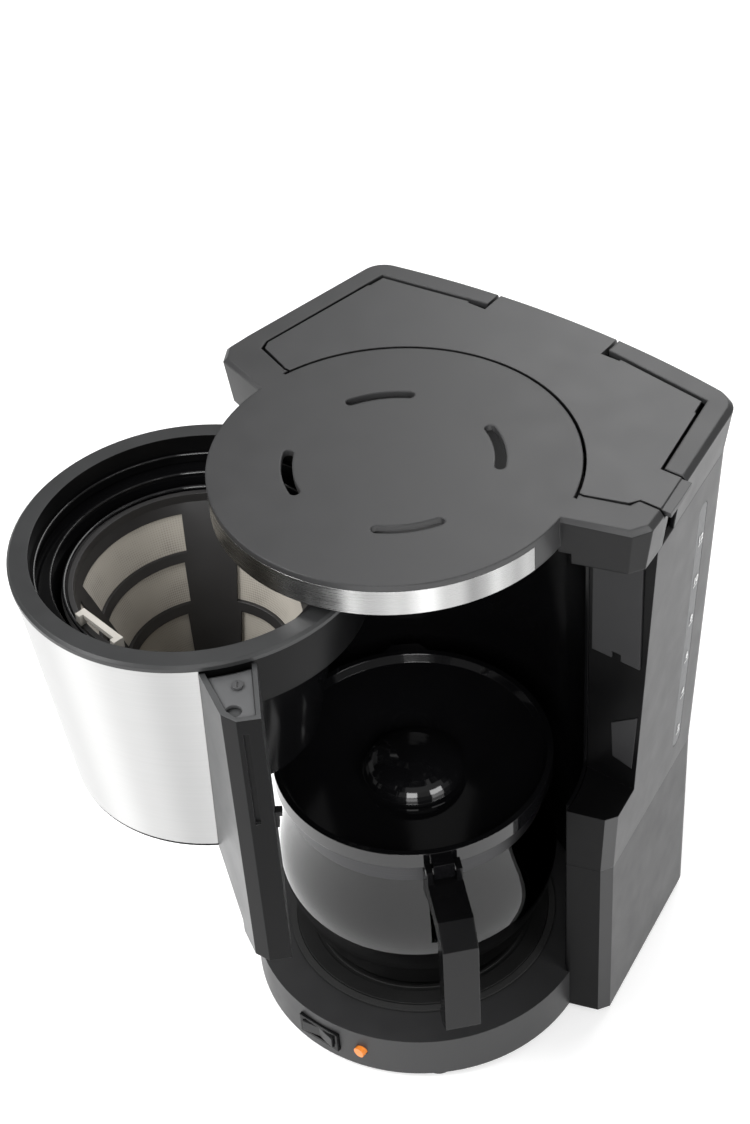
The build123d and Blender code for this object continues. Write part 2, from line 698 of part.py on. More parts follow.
def trim_band():
    z1 = TOTAL_H - DISC_T - 0.05
    band = ring(HEAD_R, HEAD_R - 0.95, TOTAL_H - DISC_T - BAND_H, z1)
    return band - box(-200, 200, BAND_END_Y - 0.1, 200, 0, 400)


def latch_plate():
    y = WALL_FRONT_Y
    plate = box(80.5, 106, y - 1.2, y - 0.05, 232, 300)
    plate -= box(91, 96, y - 3, y + 1, 230, 236)
    return plate - cylinder(BAY_R, 0, 400)


def door_hinge_pin():
    return cylinder(HINGE_PIN_R, LEDGE_Z - 8, HEAD_Z + 10, HINGE_X, HINGE_Y)


# ---- filter door, drawn shut ------------------------------------------------

def shell_r(z):
    t = (z - SHELL_BOTTOM_Z) / (RING_TOP - RING_T - SHELL_BOTTOM_Z)
    return SHELL_BOTTOM_R + t * (SHELL_TOP_R - SHELL_BOTTOM_R)


def cone_solid(z0, z1, offset):
    """Solid cone with the taper of the steel shell, grown by an offset."""
    points = [(0, z0), (shell_r(z0) + offset, z0), (shell_r(z1) + offset, z1), (0, z1)]
    return turned(points)


def wing_line_y(x):
    slope = (WING_CORNER[1] - WING_ROOT[1]) / (WING_CORNER[0] - WING_ROOT[0])
    return WING_ROOT[1] + slope * (abs(x) - WING_ROOT[0])


def front_of_wings():
    """Everything in front of the plane of the two wings."""
    reach = 140
    points = [(0, -150), (reach, -150), (reach, wing_line_y(reach))]
    points += [(WING_ROOT[0], WING_ROOT[1]), (0, WING_ROOT[1])]
    return prism(mirrored(points[1:4]), 100, 400)


def door_steel():
    z0 = SHELL_BOTTOM_Z
    z1 = RING_TOP - RING_T - 0.05
    shell = cone_solid(z0, z1, 0) - cone_solid(z0 - 1, z1 + 1, -STEEL_T)
    return shell & front_of_wings()


def door_cup():
    z0 = SHELL_BOTTOM_Z - 1.6
    z1 = RING_TOP - RING_T - 0.05
    cup = cone_solid(z0, z1, -STEEL_T - 0.15) - cone_solid(z0 - 1, z1 + 1, -STEEL_T - CUP_T)
    back = box(-200, 200, 12, 200, 0, CUP_BACK_Z)
    floor = ring(SHELL_BOTTOM_R - 0.4, SHELL_BOTTOM_R - 7, z0, z0 + 1.6)
    return cup - back + (floor - back)


def door_ring():
    """Rim of the holder with the inner ledge that the basket hangs on."""
    top = RING_TOP
    step = top - LEDGE_DEPTH
    points = [(RING_BORE_R, top), (RING_R - 1.2, top), (RING_R, top - 1.2), (RING_R, top - RING_T)]
    points += [(RING_BORE_R + 2, top - RING_T), (RING_BORE_R + 2, step - 2.4)]
    points += [(RING_BORE_R - 3.6, step - 2.4)]
    points += [(RING_BORE_R - 3.6, step), (RING_BORE_R, step)]
    return turned(points)


def wing_points(side, inset=0.0):
    """Plan of one wing; side is 1 for the free edge and -1 for the hinge edge."""
    root_y = wing_line_y(WING_ROOT[0]) + inset * 1.1
    right = [(WING_ROOT[0], root_y), (WING_CORNER[0] - inset, WING_CORNER[1] + inset * 0.9),
             (WING_SIDE[0] - inset, WING_SIDE[1]), (WING_BACK[0] - inset, WING_BACK[1] - inset),
             (WING_ROOT[0], WING_BACK[1] - WING_BACK_FALL - inset)]
    return [(side * x, y) for x, y in right]


def under_wing(side, raise_by=0.0):
    """What is cut from a wing below the shell, where its inner edge runs outwards."""
    x0 = WING_ROOT[0] - 1
    points = [(x0, LEDGE_Z), (WING_FOOT_X, LEDGE_Z), (WING_FOOT_X, WING_TIP_Z), (x0 + 2, SHELL_BOTTOM_Z)]
    points += [(x0, SHELL_BOTTOM_Z)]
    outline = [(side * (x + raise_by), -5, z + raise_by) for x, z in points]
    return extrude(make_face(Polyline(*outline, close=True)), amount=60, dir=(0, 1, 0))


def wing(side):
    body = prism(wing_points(side), LEDGE_Z + 1.2, WING_TOP)
    pocket_floor = WING_TOP - WING_COVER_DROP - WING_COVER_T - 0.1
    cavity = prism(wing_points(side, WING_WALL), LEDGE_Z, pocket_floor - WING_WALL)
    cavity -= cone_solid(SHELL_BOTTOM_Z - 4, RING_TOP, WING_WALL)
    cavity -= under_wing(side, WING_WALL)
    cavity -= inner_trim(side, WING_WALL)
    body -= cavity
    body -= prism(wing_points(side, WING_WALL), pocket_floor, WING_TOP + 1)
    body -= cone_solid(SHELL_BOTTOM_Z - 2, RING_TOP, 0.05)
    body -= under_wing(side)
    body -= cylinder(RING_R + 0.3, RING_TOP - RING_T - 1, 400)
    return body - inner_trim(side, 0)


def inner_trim(side, keep_wall):
    """The back inner corner of a wing is open, so that it clears the side column."""
    x = WING_TRIM_X + keep_wall
    return box(min(0, side * x), max(0, side * x), WING_TRIM_Y - keep_wall, 60, 0, 400)


def wing_right():
    slot = box(WING_SIDE[0] - 2.0, WING_SIDE[0] + 2, 26, 28.4, 242, 296)
    return wing(1) - slot


def wing_left():
    boss_top = WING_TOP - WING_COVER_DROP - WING_COVER_T - 1
    boss = cylinder(5.4, LEDGE_Z + 1.2, boss_top, HINGE_X, HINGE_Y)
    boss &= prism(wing_points(-1, 0.5), LEDGE_Z, WING_TOP)
    return wing(-1) + boss - cylinder(HINGE_PIN_R + PIN_CLEAR, 0, 400, HINGE_X, HINGE_Y)


def wing_cover(side):
    z1 = WING_TOP - WING_COVER_DROP
    cover = prism(wing_points(side, WING_WALL + 0.15), z1 - WING_COVER_T, z1)
    cover -= cylinder(RING_R + 1.5, 0, 400)
    cover -= cylinder(SCREW_R - 0.7, 0, 400, side * WING_SCREW[0], WING_SCREW[1])
    return cover - cylinder(HINGE_PIN_R + 1.0, 0, 400, side * abs(HINGE_X), HINGE_Y)


def wing_screw(side):
    z = WING_TOP - WING_COVER_DROP
    x, y = side * WING_SCREW[0], WING_SCREW[1]
    head = cylinder(SCREW_R, z + 0.05, z + 1.2, x, y)
    head -= box(x - 1.6, x + 1.6, y - 0.3, y + 0.3, z + 0.7, z + 2)
    return head + cylinder(SCREW_R - 1.0, z - WING_COVER_T, z + 0.1, x, y)


def latch_tongue():
    """Small hook on the back of the right wing that snaps under the latch plate."""
    y = wing_back_y(95.4) + 0.02
    return box(91.6, 95.4, y, WALL_FRONT_Y - 0.5, 233, 235.4) + box(91.6, 95.4, y, y + 1.5, 226, 235.4)


def wing_back_y(x):
    share = (WING_BACK[0] - x) / (WING_BACK[0] - WING_ROOT[0])
    return WING_BACK[1] - WING_BACK_FALL * share


# ---- basket and filter ------------------------------------------------------

def filter_basket():
    top = RING_TOP - LEDGE_DEPTH + 0.2
    rim_top = top + 2.0
    outer = [(BASKET_RIM_R, rim_top), (BASKET_RIM_R, top), (BASKET_TOP_R, top)]
    outer += [(BASKET_MID_R, BASKET_MID_Z), (BASKET_TIP_R, BASKET_TIP_Z + 8), (BASKET_TIP_R, BASKET_TIP_Z)]
    outer += [(VALVE_BORE_R, BASKET_TIP_Z), (VALVE_BORE_R, BASKET_TIP_Z + 2)]
    inner = [(BASKET_TIP_R - BASKET_T, BASKET_TIP_Z + 2), (BASKET_TIP_R - BASKET_T, BASKET_TIP_Z + 9)]
    inner += [(BASKET_MID_R - BASKET_T, BASKET_MID_Z + 1), (BASKET_TOP_R - BASKET_T, top + 1.0)]
    inner += [(BASKET_TOP_R - BASKET_T, rim_top)]
    return turned(outer + inner)


def filter_r(z):
    t = (z - FILTER_BOTTOM_Z) / (FILTER_TOP_Z - FILTER_BOTTOM_Z)
    return FILTER_BOTTOM_R + t * (FILTER_TOP_R - FILTER_BOTTOM_R)


def filter_wall():
    """Whole cone of the permanent filter, before its windows are cut."""
    low = filter_r(FILTER_BOTTOM_Z)
    top = filter_r(FILTER_TOP_Z)
    points = [(low, FILTER_BOTTOM_Z), (filter_r(FILTER_TOP_Z - 2), FILTER_TOP_Z - 2)]
    points += [(FILTER_RIM_R, FILTER_TOP_Z - 2)]
    points += [(FILTER_RIM_R, FILTER_TOP_Z), (top + 0.8, FILTER_TOP_Z), (top + 0.8, FILTER_TOP_Z + 2.5)]
    points += [(top - FILTER_T, FILTER_TOP_Z + 2.5), (top - FILTER_T, FILTER_TOP_Z - 2)]
    points += [(low - FILTER_T, FILTER_BOTTOM_Z + 1.6), (6, FILTER_BOTTOM_Z + 1.6), (6, FILTER_BOTTOM_Z)]
    return turned(points)


def filter_windows():
    """Openings between the hoops and ribs, one wedge for each mesh panel."""
    height = FILTER_TOP_Z - FILTER_BOTTOM_Z
    levels = [FILTER_BOTTOM_Z + share * height for share in FILTER_HOOPS]
    step = 360 / FILTER_RIBS
    windows = []
    for i in range(FILTER_RIBS):
        first = FILTER_PANEL_ANGLE + i * step
        for z0, z1 in zip(levels[:-1], levels[1:]):
            middle = filter_r((z0 + z1) / 2)
            rib_before = FILTER_PANEL if i == 0 else FILTER_RIB
            rib_after = FILTER_PANEL if i == FILTER_RIBS - 1 else FILTER_RIB
            start = first + math.degrees(rib_before / middle / 2)
            finish = first + step - math.degrees(rib_after / middle / 2)
            corners = [at_angle(8, (start + finish) / 2)[:2]]
            corners += [at_angle(95, start)[:2], at_angle(95, finish)[:2]]
            low, high = z0 + FILTER_HOOP / 2, z1 - FILTER_HOOP / 2
            windows.append(prism(corners, low, high) - cylinder(filter_r(low) - 12, low - 1, high + 1))
        inner = [at_angle(9, first + 14)[:2], at_angle(FILTER_BOTTOM_R - 5, first + 8)[:2]]
        inner += [at_angle(FILTER_BOTTOM_R - 5, first + step - 8)[:2], at_angle(9, first + step - 14)[:2]]
        windows.append(prism(inner, FILTER_BOTTOM_Z - 1, FILTER_BOTTOM_Z + 3))
    return windows


def filter_frame():
    """Rim, hoops, ribs and bottom ring of the permanent filter."""
    return filter_wall() - filter_windows()


def filter_mesh():
    """Fine nylon mesh outside the ribs, drawn as one thin cone with a floor."""
    z0 = FILTER_BOTTOM_Z - 0.1
    z1 = FILTER_TOP_Z - 2.1
    r0 = FILTER_BOTTOM_R + 0.1
    r1 = filter_r(z1) + 0.1
    points = [(0, z0 - MESH_T), (r0 + MESH_T, z0 - MESH_T), (r1 + MESH_T, z1), (r1, z1), (r0, z0), (0, z0)]
    return turned(points)


def filter_handle():
    """Small bow on the rim for lifting the filter out."""
    z = FILTER_TOP_Z + 2.6
    r = FILTER_TOP_R - 3
    bow = box(r - 1.5, r + 1.5, -13, 13, z + 3, z + 5.6)
    for y in (-12, 12):
        bow += box(r - 1.5, r + 3.5, y - 1.5, y + 1.5, z, z + 5.6)
    return Rot(0, 0, FILTER_HANDLE_ANGLE) * bow


def valve_plunger():
    """Drip stop: a jug lid pushes it up and opens the basket."""
    z = BASKET_TIP_Z
    stem = cylinder(VALVE_BORE_R - 1.4, z - 11, z + 13)
    foot = cylinder(8, z - 13.5, z - 11)
    cap = cylinder(VALVE_BORE_R + 2.6, z + 13, z + 15)
    return stem + foot + cap


def valve_seal():
    z = BASKET_TIP_Z
    return ring(VALVE_BORE_R + 2.2, VALVE_BORE_R - 1.3, z - 10.9, z - 9.3)


def valve_spring():
    z0 = BASKET_TIP_Z + 2.3
    z1 = BASKET_TIP_Z + 12.6
    wire = 0.5
    radius = VALVE_BORE_R - 0.5
    height = z1 - z0 - 2 * wire
    path = Helix(pitch=height / 5, height=height, radius=radius, center=(0, 0, z0 + wire))
    section_plane = Plane(origin=path @ 0, z_dir=path % 0)
    return sweep(section_plane * Circle(wire), path=path, is_frenet=True)


# ---- jug --------------------------------------------------------------------

def jug_outline(offset):
    """Outside of the glass, or its inside when an offset is taken off."""
    foot = PLATE_TOP + 0.35 + offset
    neck = JUG_RIM_Z - 12
    belly = foot - offset + 52
    curve = Spline([(JUG_FOOT_R - offset, 0, foot + 3), (JUG_BELLY_R - offset, 0, belly),
                    (JUG_NECK_R - offset, 0, neck)],
                   tangents=[(0.35, 0, 1), (-0.1, 0, 0.9)])
    lines = Polyline((JUG_NECK_R - offset, 0, neck), (JUG_NECK_R - offset, 0, JUG_RIM_Z + offset),
                     (0, 0, JUG_RIM_Z + offset), (0, 0, foot), (JUG_FOOT_R - 3 - offset, 0, foot),
                     (JUG_FOOT_R - offset, 0, foot + 3))
    return revolve(make_face(Curve() + [curve, lines]), Axis.Z, 360)


def jug_glass():
    solid = jug_outline(0) - jug_outline(JUG_GLASS)
    return solid - cylinder(JUG_NECK_R + 5, JUG_RIM_Z, JUG_RIM_Z + 20)


def jug_band():
    return ring(JUG_NECK_R + 1.2, JUG_NECK_R + 0.05, JUG_RIM_Z - 11, JUG_RIM_Z - 1)


def handle_frame(shape):
    return Rot(0, 0, HANDLE_ANGLE) * shape


def jug_handle():
    """Open grip: top arm, back bar and a foot that grips the band."""
    r0 = JUG_NECK_R + 1.3
    r1 = r0 + HANDLE_OUT
    top = JUG_RIM_Z + 0.6
    outer = [(r0, top), (r1 - 10, top), (r1, top - 10), (r1 - 3, 66), (r1 - 12, 58), (r1 - 18, 60)]
    inner = [(r1 - 15, 70), (r1 - 13, top - 16), (r1 - 17, top - 13)]
    inner += [(r0 + 4, top - 13), (r0 + 4, top - 19), (r0, top - 19)]
    side = [(r, -HANDLE_W / 2, z) for r, z in outer + inner]
    grip = extrude(make_face(Polyline(*side, close=True)), amount=HANDLE_W, dir=(0, 1, 0))
    grip -= cylinder(r0 + 0.0, 0, 400)
    grip -= handle_pin_hole(0)
    grip -= Pos(r0 + 5.2, 0, JUG_RIM_Z - 8) * Rot(0, 90, 0) * Cylinder(2.7, 2.2)
    return handle_frame(grip)


def handle_screw():
    r0 = JUG_NECK_R + 1.3
    z = JUG_RIM_Z - 8
    head = Pos(r0 + 5.2, 0, z) * Rot(0, 90, 0) * Cylinder(2.6, 2)
    return handle_frame(head)


def handle_pin_hole(clear):
    return Pos(LID_PIN_X, 0, LID_PIN_Z) * Rot(90, 0, 0) * Cylinder(LID_PIN_R + clear, 60)


def handle_ears():
    """Two ears on the handle that hold the lid pin."""
    ears = []
    for y in (-HANDLE_W / 2, HANDLE_W / 2 - 3):
        ear = box(LID_PIN_X - 3.5, LID_PIN_X + 3.5, y, y + 3, JUG_RIM_Z + 0.5, LID_PIN_Z + 3)
        ears.append(ear - handle_pin_hole(0))
    return handle_frame(ears[0] + ears[1])


def jug_lid_pin():
    pin = Pos(LID_PIN_X, 0, LID_PIN_Z) * Rot(90, 0, 0) * Cylinder(LID_PIN_R, HANDLE_W)
    return handle_frame(pin)


def dome_line(radius, height, base):
    """Half of a round dome from its edge up to the axis, in short steps."""
    steps = [math.radians(90 * i / DOME_STEPS) for i in range(DOME_STEPS + 1)]
    return [(round(radius * math.cos(a), 6), base + height * math.sin(a)) for a in steps]


def jug_lid():
    """Dished lid with a dome in the middle, a thumb tab and a pouring lip."""
    rim = LID_RIM_Z
    skirt = JUG_RIM_Z + 1.0
    neck = JUG_NECK_R - 4
    dish = rim - 14
    over = dome_line(DOME_R, DOME_H, dish)
    under = dome_line(DOME_R - 2, DOME_H, dish - 2)
    top = [(DOME_R + 3, dish), (LID_RIM_R - 5, rim - 4), (LID_RIM_R - 3, rim), (LID_RIM_R, rim)]
    side = [(LID_RIM_R, skirt + 2), (LID_RIM_R - 2, skirt), (neck, skirt), (neck, skirt - 5)]
    back = [(neck - 2, skirt - 5), (neck - 2, skirt), (DOME_R + 3, dish - 2)]
    lid = turned(list(reversed(over)) + top + side + back + under)
    inner = HANDLE_W / 2 - 3.4
    lug = box(LID_RIM_R - 1.5, LID_PIN_X + 2.8, -inner, inner, LID_PIN_Z - 2.8, rim - 0.2)
    lug -= handle_pin_hole(PIN_CLEAR)
    return lid + handle_frame(lug) + pour_lip()


def pour_lip():
    """Short spout over the glass lip, opposite the handle."""
    points = [(LID_RIM_R - 6, -16), (LID_RIM_R + 5, -7), (LID_RIM_R + 5, 7), (LID_RIM_R - 6, 16)]
    lip = prism(points, LID_RIM_Z - 3, LID_RIM_Z - 0.4)
    lip -= cylinder(LID_RIM_R - 1.5, 0, 400)
    return Rot(0, 0, HANDLE_ANGLE + 172) * lip


# ---- assembly ---------------------------------------------------------------

def swing_open(shape):
    """Swing a piece of the shut door to where the door stands open."""
    there = Pos(HINGE_X, HINGE_Y, 0)
    back = Pos(-HINGE_X, -HINGE_Y, 0)
    return there * Rot(0, 0, -OPEN_ANGLE) * back * shape


FIXED = [base_plate, rubber_feet, base_screws, lower_housing, warming_plate, plate_seal, heat_spreader,
         heater_tube, heater_bracket, thermostat, thermal_fuse, terminal_block, cord_gland, switch_bezel,
         pilot_lens, upper_housing, bay_liner, water_tank, level_window, check_valve, inlet_hose, cold_hose,
         hot_hose, riser_tube, spray_head, head_cover, trim_band, latch_plate, door_hinge_pin,
         lid_hinge_pins, switch_rocker, valve_ball, tank_lid, jug_glass, jug_band, handle_screw,
         jug_lid_pin, jug_lid]
ON_DOOR = [door_ring, door_cup, door_steel, wing_right, wing_left, latch_tongue,
           filter_basket, filter_frame, filter_mesh, filter_handle, valve_plunger, valve_seal, valve_spring]

for maker in FIXED:
    keep(maker.__name__, maker())
keep("jug_handle", jug_handle() + handle_ears())
for maker in ON_DOOR:
    keep(maker.__name__, swing_open(maker()))
for edge, side in (("right", 1), ("left", -1)):
    keep("wing_cover_" + edge, swing_open(wing_cover(side)))
    keep("wing_screw_" + edge, swing_open(wing_screw(side)))

os.makedirs("parts", exist_ok=True)
for name, shape in PARTS.items():
    export_step(shape, "parts/" + name + ".step")
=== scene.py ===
"""Looks for the drip coffee maker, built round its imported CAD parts. Metres, +Z up, front towards -Y."""
import math

import bpy
from mathutils import Matrix, Vector


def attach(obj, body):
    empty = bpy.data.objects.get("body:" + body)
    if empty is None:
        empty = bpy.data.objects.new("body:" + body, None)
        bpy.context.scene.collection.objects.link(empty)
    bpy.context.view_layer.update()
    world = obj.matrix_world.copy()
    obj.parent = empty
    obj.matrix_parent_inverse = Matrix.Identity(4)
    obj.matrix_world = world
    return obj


MM = 0.001

# ---- camera: from the front right, above the machine
CAMERA_AZIMUTH = 40.54
CAMERA_ELEVATION = 41.4
CAMERA_ROLL = -4.35
CAMERA_PLACE = Vector((0.4641, -0.5601, 0.9129))
CAMERA_LENS = 68.7
SENSOR = 36.0
CLIP_NEAR = 0.05
CLIP_FAR = 50

# ---- places on the machine that the looks follow
DOOR_AXIS = (-57.2 * MM, -71.25 * MM)    # the holder's axis as the door is drawn, open
SIDE_TOP_X = 112.4 * MM
SIDE_TOP_Z = 305.0 * MM
SIDE_LEAN = 0.051
SIDE_SPLAY = 0.1655
SIDE_FRONT_Y = 36.5 * MM
HOUSING_FRONT_TOP = 0.304
HEAD_EDGE_Z = 0.326
BAY_HALF = 0.080
LEDGE_TOP = 0.160
RING_BORE = 71.7 * MM
RING_TOP = 309.0 * MM
RING_SHADE_OVERLAP = 0.0012    # the painted shade black of the bore reaches this far past it
RING_SHADE_DEPTH = 0.012    # below this depth the whole ring is painted shade black
# the way the right wing's end faces turn; those faces are painted shade black
WING_SHADED_END = Vector((0.61, -0.79, 0.0))

# ---- small added pieces: lips as (radius, z, half thickness), pad as (x, z), marks as (cups, z), all in mm
HOLDER_LIPS = ((70.6, 299.5, 0.7), (68.6, 293.0, 0.8), (64.6, 293.2, 0.9), (59.0, 289.2, 0.9))
LIP_SIDES = 10
LIP_STEPS = 128
RECESS_Y = 36.0 * MM
RECESS_PAD = ((92.3, 167.5), (103.0, 165.0), (105.3, 200.0), (91.3, 189.3))
RECESS_DEPTH = 0.4 * MM
MARK_Y = 92.0 * MM
MARK_LEVELS = (("12", 266), ("10", 240), ("8", 215), ("6", 190), ("4", 165), ("2", 139))
MARK_PROUD = 0.45 * MM
NUMBER_SIZE = 5.6 * MM
NUMBER_DEPTH = 0.06 * MM
NUMBER_WEIGHT = 0.1 * MM
LINE_HALF = 2.4 * MM
LINE_LOW = -2.0 * MM
LINE_WIDTH = 0.5 * MM
LINE_DEPTH = 0.05 * MM

# ---- materials
NOISE_LOW = 0.3    # most noise values lie between these two
NOISE_HIGH = 0.7
GRAIN_SCALE = 900
FAINT_GRAIN = 0.00002
FINE_GRAIN = 0.00003
COARSE_GRAIN = 0.00005
# how far the shading rounds an edge, and how near two faces must be for shade to be painted into the gap
# between them
SHARP_EDGE = 0.0003
FIRM_EDGE = 0.0005
SOFT_EDGE = 0.0006
WIDE_EDGE = 0.0012
GAP_SHADE_REACH = 0.0035
NARROW_GAP_SHADE_REACH = 0.002
STREAK = 0.12
THREADS = 260    # in a full turn round the cone
THREAD_RADIUS = 0.045    # here the threads are as far apart up the cone as round it

# ---- stage: each light's name, place, target, width, power and height, where it isn't square
FLOOR_HALF = 6.0
LIGHTS = (
    ("key", (-0.9, -0.7, 1.5), (0, 0, 0.25), 0.9, 18, None),
    ("right", (1.5, -0.1, 0.9), (0.05, 0, 0.2), 0.7, 11, None),
    ("back", (-0.3, 1.3, 1.4), (0, 0.05, 0.3), 1.2, 16, None),
    ("front", (0.62, -1.0, 0.75), (0, 0, 0.15), 0.45, 9, 0.8),
    ("over", (-0.35, -0.75, 1.0), (0, -0.02, 0.15), 0.3, 5, 0.5),
)


# ---------------------------------------------------------------- node helpers
class Tree:
    """A material's nodes, with short calls for the few kinds used here."""

    def __init__(self, name):
        self.material = bpy.data.materials.new(name)
        self.material.use_nodes = True
        self.nodes = self.material.node_tree.nodes
        self.links = self.material.node_tree.links
        self.shader = self.nodes["Principled BSDF"]

    def set(self, **values):
        """Values that are the same all over, straight on the shader's sockets."""
        for name, value in values.items():
            self.shader.inputs[name.replace("_", " ")].default_value = value

    def add(self, kind, **settings):
        node = self.nodes.new(kind)
        for name, value in settings.items():
            setattr(node, name, value)
        return node

    def join(self, source, target):
        self.links.new(source, target)

    def place(self, scale=(1, 1, 1)):
        """Object coordinates, stretched."""
        coordinates = self.add("ShaderNodeTexCoord")
        mapping = self.add("ShaderNodeMapping")
        mapping.inputs["Scale"].default_value = scale
        self.join(coordinates.outputs["Object"], mapping.inputs["Vector"])
        return mapping.outputs["Vector"]

    def noise(self, vector, scale, detail=2.0, roughness=0.5):
        node = self.add("ShaderNodeTexNoise")
        node.inputs["Scale"].default_value = scale
        node.inputs["Detail"].default_value = detail
        node.inputs["Roughness"].default_value = roughness
        self.join(vector, node.inputs["Vector"])
        return node.outputs["Fac"]

    def spread(self, value, low, high):
        """Maps a noise value onto low..high."""
        node = self.add("ShaderNodeMapRange")
        node.inputs["From Min"].default_value = NOISE_LOW
        node.inputs["From Max"].default_value = NOISE_HIGH
        node.inputs["To Min"].default_value = low
        node.inputs["To Max"].default_value = high
        self.join(value, node.inputs["Value"])
        return node.outputs["Result"]

    def tint(self, value, dark, light):
        """Maps a noise value onto a colour from dark to light."""
        ramp = self.add("ShaderNodeValToRGB")
        ramp.color_ramp.elements[0].position = NOISE_LOW
        ramp.color_ramp.elements[1].position = NOISE_HIGH
        ramp.color_ramp.elements[0].color = (*dark, 1)
        ramp.color_ramp.elements[1].color = (*light, 1)
        self.join(value, ramp.inputs["Fac"])
        return ramp.outputs["Color"]

    def bump(self, value, strength, distance, under=None):
        node = self.add("ShaderNodeBump")
        node.inputs["Strength"].default_value = strength
        node.inputs["Distance"].default_value = distance
        self.join(value, node.inputs["Height"])
        if under is not None:
            self.join(under, node.inputs["Normal"])
        return node.outputs["Normal"]

    def angle_and_height(self, x, y):
        """The angle round an upright axis, and the height along it."""
        coordinates = self.add("ShaderNodeTexCoord")
        shift = self.add("ShaderNodeVectorMath", operation="SUBTRACT")
        shift.inputs[1].default_value = (x, y, 0)
        self.join(coordinates.outputs["Object"], shift.inputs[0])
        parts = self.add("ShaderNodeSeparateXYZ")
        self.join(shift.outputs["Vector"], parts.inputs["Vector"])
        turn = self.add("ShaderNodeMath", operation="ARCTAN2")
        self.join(parts.outputs["Y"], turn.inputs[0])
        self.join(parts.outputs["X"], turn.inputs[1])
        return turn.outputs[0], parts.outputs["Z"]

    def round_axis(self, x, y):
        """A coordinate that runs round an upright axis."""
        along = self.add("ShaderNodeCombineXYZ")
        self.join(self.angle_and_height(x, y)[0], along.inputs["X"])
        return along.outputs["Vector"]

    def paint_gap_shade(self, colour, reach):
        """Paints shade into narrow gaps and slots, where little light gets in: the colour goes near black
        there.
        """
        near = self.add("ShaderNodeAmbientOcclusion", samples=6)
        near.inputs["Distance"].default_value = reach
        level = self.add("ShaderNodeMapRange")
        level.inputs["From Min"].default_value = 0.35
        level.inputs["From Max"].default_value = 0.75
        self.join(near.outputs["AO"], level.inputs["Value"])
        mix = self.add("ShaderNodeMixRGB")
        self.join(level.outputs["Result"], mix.inputs["Fac"])
        mix.inputs["Color1"].default_value = (0.001, 0.001, 0.001, 1)
        self.join(colour, mix.inputs["Color2"])
        return mix.outputs["Color"]

    def soft_edge(self, radius):
        """A small rounding of the moulded edges."""
        node = self.add("ShaderNodeBevel", samples=4)
        node.inputs["Radius"].default_value = radius
        return node.outputs["Normal"]


def plastic(name, colour, roughness, grain=0.0, edge=FIRM_EDGE, specular=0.5, gap_shade=0.0):
    """Moulded plastic: a faint mottle in colour and gloss, a fine grain where it is textured, and painted
    shade in its narrow gaps where asked.
    """
    tree = Tree(name)
    tree.set(Specular_IOR_Level=specular)
    where = tree.place()
    mottle = tree.noise(where, 60, 3.0)
    dark = [c * 0.93 for c in colour]
    light = [min(1.0, c * 1.07) for c in colour]
    tone = tree.tint(mottle, dark, light)
    # painted shade: the colour darkens to near black in narrow gaps between faces
    if gap_shade:
        tone = tree.paint_gap_shade(tone, gap_shade)
    tree.join(tone, tree.shader.inputs["Base Color"])
    fine = tree.noise(where, GRAIN_SCALE, 2.0, 0.6)
    rough = tree.spread(mottle, roughness * 0.92, roughness * 1.08)
    tree.join(rough, tree.shader.inputs["Roughness"])
    normal = tree.soft_edge(edge) if edge else None
    normal = tree.bump(fine, 0.25 if grain else 0.03, max(grain, FAINT_GRAIN), normal)
    tree.join(normal, tree.shader.inputs["Normal"])
    return tree.material


def brushed(name, colour, roughness, stretch):
    """Brushed metal. The scratches run along the directions with the smaller stretch."""
    tree = Tree(name)
    tree.set(Metallic=1.0, Anisotropic=0.55)
    lines = tree.noise(tree.place(stretch), 1.0, 4.0, 0.65)
    dark = [c * (1 - STREAK) for c in colour]
    light = [min(1.0, c * (1 + STREAK)) for c in colour]
    tree.join(tree.tint(lines, dark, light), tree.shader.inputs["Base Color"])
    rough = tree.spread(lines, roughness * 0.8, roughness * 1.2)
    tree.join(rough, tree.shader.inputs["Roughness"])
    tree.join(tree.bump(lines, 0.12, 0.00006, tree.soft_edge(SHARP_EDGE)), tree.shader.inputs["Normal"])
    return tree.material


def cone_metal(name):
    """Brushed holder shell: fine scratches round it, and slow stretches of lighter and darker colour round
    it, painted reflection and shade.
    """
    tree = Tree(name)
    tree.set(Metallic=1.0, Anisotropic=0.5)
    # painted reflection and shade: light and dark stretches round the holder's axis, in the metal's colour
    stretch = tree.noise(tree.round_axis(*DOOR_AXIS), 1.6, 1.0, 0.4)
    tone = tree.tint(stretch, (0.36, 0.36, 0.36), (0.60, 0.60, 0.595))
    lines = tree.noise(tree.place((5, 5, 1800)), 1.0, 4.0, 0.6)
    shade = tree.tint(lines, (0.93, 0.93, 0.93), (1.0, 1.0, 1.0))
    mix = tree.add("ShaderNodeMixRGB", blend_type="MULTIPLY")
    mix.inputs["Fac"].default_value = 1.0
    tree.join(tone, mix.inputs["Color1"])
    tree.join(shade, mix.inputs["Color2"])
    tree.join(mix.outputs["Color"], tree.shader.inputs["Base Color"])
    tree.join(tree.spread(lines, 0.30, 0.40), tree.shader.inputs["Roughness"])
    tree.join(tree.bump(lines, 0.05, 0.00003, tree.soft_edge(SHARP_EDGE)), tree.shader.inputs["Normal"])
    return tree.material


